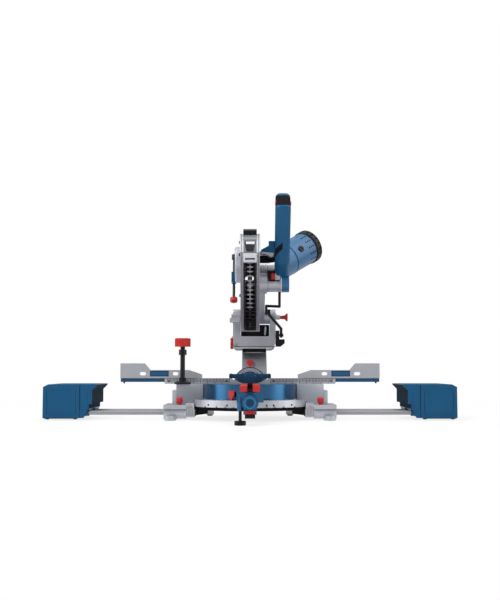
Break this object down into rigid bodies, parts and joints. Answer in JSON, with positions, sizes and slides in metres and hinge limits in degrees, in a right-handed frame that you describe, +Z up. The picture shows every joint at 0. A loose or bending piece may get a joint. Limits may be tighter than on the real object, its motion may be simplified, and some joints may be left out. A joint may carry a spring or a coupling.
{
  "type": "sliding mitre saw",
  "caption": "Double-bevel sliding mitre saw: turntable in a cast base, two pull-out side supports, two-part fence, clamp, twin-rail head with D handle and swinging blade guard.",
  "frame": {"origin": "on the mitre axis, level with the underside of the feet, at the centre of the bench bolt pattern", "axes": "+Z up, +X to the operator's right, the operator stands at -Y and +Y is to the rear"},
  "size_m": [1.114, 0.9103, 0.6198],
  "materials": {
    "cast_silver": "satin",
    "cast_blue": "satin",
    "blue_plastic": "matt",
    "black_plastic": "matt",
    "red_plastic": "satin",
    "steel_bright": "polished",
    "steel_plain": "brushed",
    "scale_plate": "satin",
    "black_steel": "satin",
    "rubber_feet": "matt",
    "bronze": "satin",
    "clear_guard": "gloss",
    "fence_grey": "satin"
  },
  "bodies": {
    "base": {"base_casting": "cast_silver", "base_feet": "rubber_feet", "mitre_detent_plate": "scale_plate", "fixed_fence_left": "cast_silver", "fixed_fence_right": "cast_silver", "clamp_post": "steel_bright", "clamp_arm": "black_steel"},
    "support_left": {"extension_box_left": "blue_plastic", "extension_rods_left": "steel_bright"},
    "support_right": {"extension_box_right": "blue_plastic", "extension_rods_right": "steel_bright"},
    "rod_lock_left": {"rod_lock_knob_left": "red_plastic"},
    "rod_lock_right": {"rod_lock_knob_right": "red_plastic"},
    "fence_left": {"sliding_fence_left": "fence_grey", "fence_slide_left": "cast_blue"},
    "fence_right": {"sliding_fence_right": "fence_grey", "fence_slide_right": "cast_blue"},
    "clamp_foot": {"clamp_pad": "black_plastic"},
    "clamp_screw": {"clamp_spindle": "black_steel", "clamp_knob": "red_plastic"},
    "table": {"turntable": "cast_blue", "turntable_pivot_bolt": "steel_plain", "kerf_inserts": "red_plastic", "mitre_pointer": "red_plastic", "bevel_stop_screws": "steel_plain", "bevel_axle": "steel_plain"},
    "mitre_lock": {"mitre_lock_knob": "blue_plastic"},
    "detent": {"detent_lever": "red_plastic"},
    "tip_foot": {"anti_tip_foot": "black_plastic"},
    "tip_screw": {"anti_tip_screw": "black_steel"},
    "bevel_arm": {"tilt_arm": "cast_silver", "bevel_pointer": "red_plastic", "rail_bushes": "bronze"},
    "bevel_lock": {"bevel_lock_lever": "black_plastic"},
    "slide_lock": {"slide_lock_knob": "red_plastic"},
    "carriage": {"slide_rails": "steel_bright", "rail_end_cap": "black_plastic", "yoke": "cast_silver", "pivot_axle": "steel_plain", "link_bracket": "black_steel"},
    "pin": {"transport_pin": "steel_plain"},
    "link": {"guard_link": "black_steel"},
    "head": {"head_casting": "cast_silver", "upper_guard": "cast_silver", "dust_port": "black_plastic", "guard_top_cap": "black_plastic", "motor_housing": "blue_plastic", "motor_end_cap": "black_plastic", "handle": "blue_plastic", "head_cover": "blue_plastic", "head_link_rod": "black_steel", "depth_stop_bracket": "blue_plastic"},
    "depth_stop": {"depth_stop_screw": "steel_bright"},
    "spindle_lock": {"spindle_lock_button": "red_plastic"},
    "lock_off": {"lock_off_button": "red_plastic"},
    "trigger_body": {"trigger": "black_plastic"},
    "blade": {"saw_blade": "steel_plain", "blade_flanges": "steel_plain", "arbor": "steel_plain"},
    "swing_guard": {"lower_guard": "clear_guard"}
  },
  "joints": [
    {"name": "support_pull_left", "type": "slide", "parent": "base", "child": "support_left", "axis": [1, 0, 0], "range_m": [0, 0.174]},
    {"name": "support_pull_right", "type": "slide", "parent": "base", "child": "support_right", "axis": [-1, 0, 0], "range_m": [0, 0.174]},
    {"name": "rod_lock_turn_left", "type": "hinge", "parent": "base", "child": "rod_lock_left", "pos_m": [-0.19, -0.076, 0.05], "axis": [0, 0, 1], "range_deg": [-90, 90]},
    {"name": "rod_lock_turn_right", "type": "hinge", "parent": "base", "child": "rod_lock_right", "pos_m": [0.19, -0.076, 0.05], "axis": [0, 0, 1], "range_deg": [-90, 90]},
    {"name": "fence_slide_in_left", "type": "slide", "parent": "base", "child": "fence_left", "axis": [1, 0, 0], "range_m": [0, 0.08]},
    {"name": "fence_slide_in_right", "type": "slide", "parent": "base", "child": "fence_right", "axis": [-1, 0, 0], "range_m": [0, 0.08]},
    {"name": "clamp_feed", "type": "slide", "parent": "base", "child": "clamp_foot", "axis": [0, 0, 1], "range_m": [0, 0.02]},
    {"name": "clamp_turn", "type": "hinge", "parent": "clamp_foot", "child": "clamp_screw", "pos_m": [-0.184, -0.055, 0.15], "axis": [0, 0, 1], "range_deg": [0, 1800]},
    {"name": "mitre_turn", "type": "hinge", "parent": "base", "child": "table", "pos_m": [0, 0, 0.04], "axis": [0, 0, 1], "range_deg": [-52, 60]},
    {"name": "mitre_lock_turn", "type": "hinge", "parent": "table", "child": "mitre_lock", "pos_m": [0, -0.32, 0.0555], "axis": [0, -1, 0], "range_deg": [-180, 0]},
    {"name": "detent_press", "type": "hinge", "parent": "table", "child": "detent", "pos_m": [0, -0.292, 0.029], "axis": [1, 0, 0], "range_deg": [0, 9], "stiffness_Nm_per_rad": 0.6, "springref_deg": -8.59},
    {"name": "tip_feed", "type": "slide", "parent": "table", "child": "tip_foot", "axis": [0, 0, 1], "range_m": [0, 0.0035]},
    {"name": "tip_turn", "type": "hinge", "parent": "tip_foot", "child": "tip_screw", "pos_m": [-0.024, -0.305, 0.04], "axis": [0, 0, 1], "range_deg": [0, 1008]},
    {"name": "bevel_tilt", "type": "hinge", "parent": "table", "child": "bevel_arm", "pos_m": [0, 0.2, 0.096], "axis": [0, 1, 0], "range_deg": [-47, 47]},
    {"name": "bevel_lock_turn", "type": "hinge", "parent": "table", "child": "bevel_lock", "pos_m": [0, 0.229, 0.096], "axis": [0, 1, 0], "range_deg": [0, 35]},
    {"name": "slide_lock_turn", "type": "hinge", "parent": "bevel_arm", "child": "slide_lock", "pos_m": [-0.05, 0.301, 0.217], "axis": [1, 0, 0], "range_deg": [0, 120]},
    {"name": "head_slide", "type": "slide", "parent": "bevel_arm", "child": "carriage", "axis": [0, -1, 0], "range_m": [0, 0.21]},
    {"name": "pin_pull", "type": "slide", "parent": "carriage", "child": "pin", "axis": [1, 0, 0], "range_m": [0, 0.012]},
    {"name": "link_swing", "type": "hinge", "parent": "carriage", "child": "link", "pos_m": [0.093, 0.176, 0.238], "axis": [-1, 0, 0], "range_deg": [-6.4, 0]},
    {"name": "head_pivot", "type": "hinge", "parent": "carriage", "child": "head", "pos_m": [0, 0.2, 0.295], "axis": [-1, 0, 0], "range_deg": [-52.5, 0], "stiffness_Nm_per_rad": 8, "springref_deg": 154.7},
    {"name": "depth_stop_turn", "type": "hinge", "parent": "head", "child": "depth_stop", "pos_m": [-0.0485, 0.162, 0.336], "axis": [0, 0.4226, 0.9063], "range_deg": [-180, 180]},
    {"name": "spindle_lock_press", "type": "slide", "parent": "head", "child": "spindle_lock", "axis": [0, 1, 0], "range_m": [0, 0.004], "stiffness_N_per_m": 400, "springref_m": -0.004},
    {"name": "lock_off_press", "type": "slide", "parent": "head", "child": "lock_off", "axis": [1, 0, 0], "range_m": [0, 0.002], "stiffness_N_per_m": 400, "springref_m": -0.003},
    {"name": "trigger_squeeze", "type": "hinge", "parent": "head", "child": "trigger_body", "pos_m": [0.0905, -0.04099, 0.53642], "axis": [-1, 0, 0], "range_deg": [0, 8], "stiffness_Nm_per_rad": 0.5, "springref_deg": -17.19},
    {"name": "blade_spin", "type": "hinge", "parent": "head", "child": "blade", "pos_m": [0, 0.035, 0.38], "axis": [1, 0, 0], "continuous": true},
    {"name": "guard_swing", "type": "hinge", "parent": "head", "child": "swing_guard", "pos_m": [0, 0.035, 0.38], "axis": [-1, 0, 0], "range_deg": [0, 140.2]}
  ],
  "couplings": [
    {"joint": "guard_swing", "follows": "head_pivot", "ratio": -2.65},
    {"joint": "link_swing", "follows": "head_pivot", "ratio": 0.12},
    {"joint": "clamp_turn", "follows": "clamp_feed", "rad_per_m": 1570.8},
    {"joint": "tip_turn", "follows": "tip_feed", "rad_per_m": 5026.5}
  ]
}
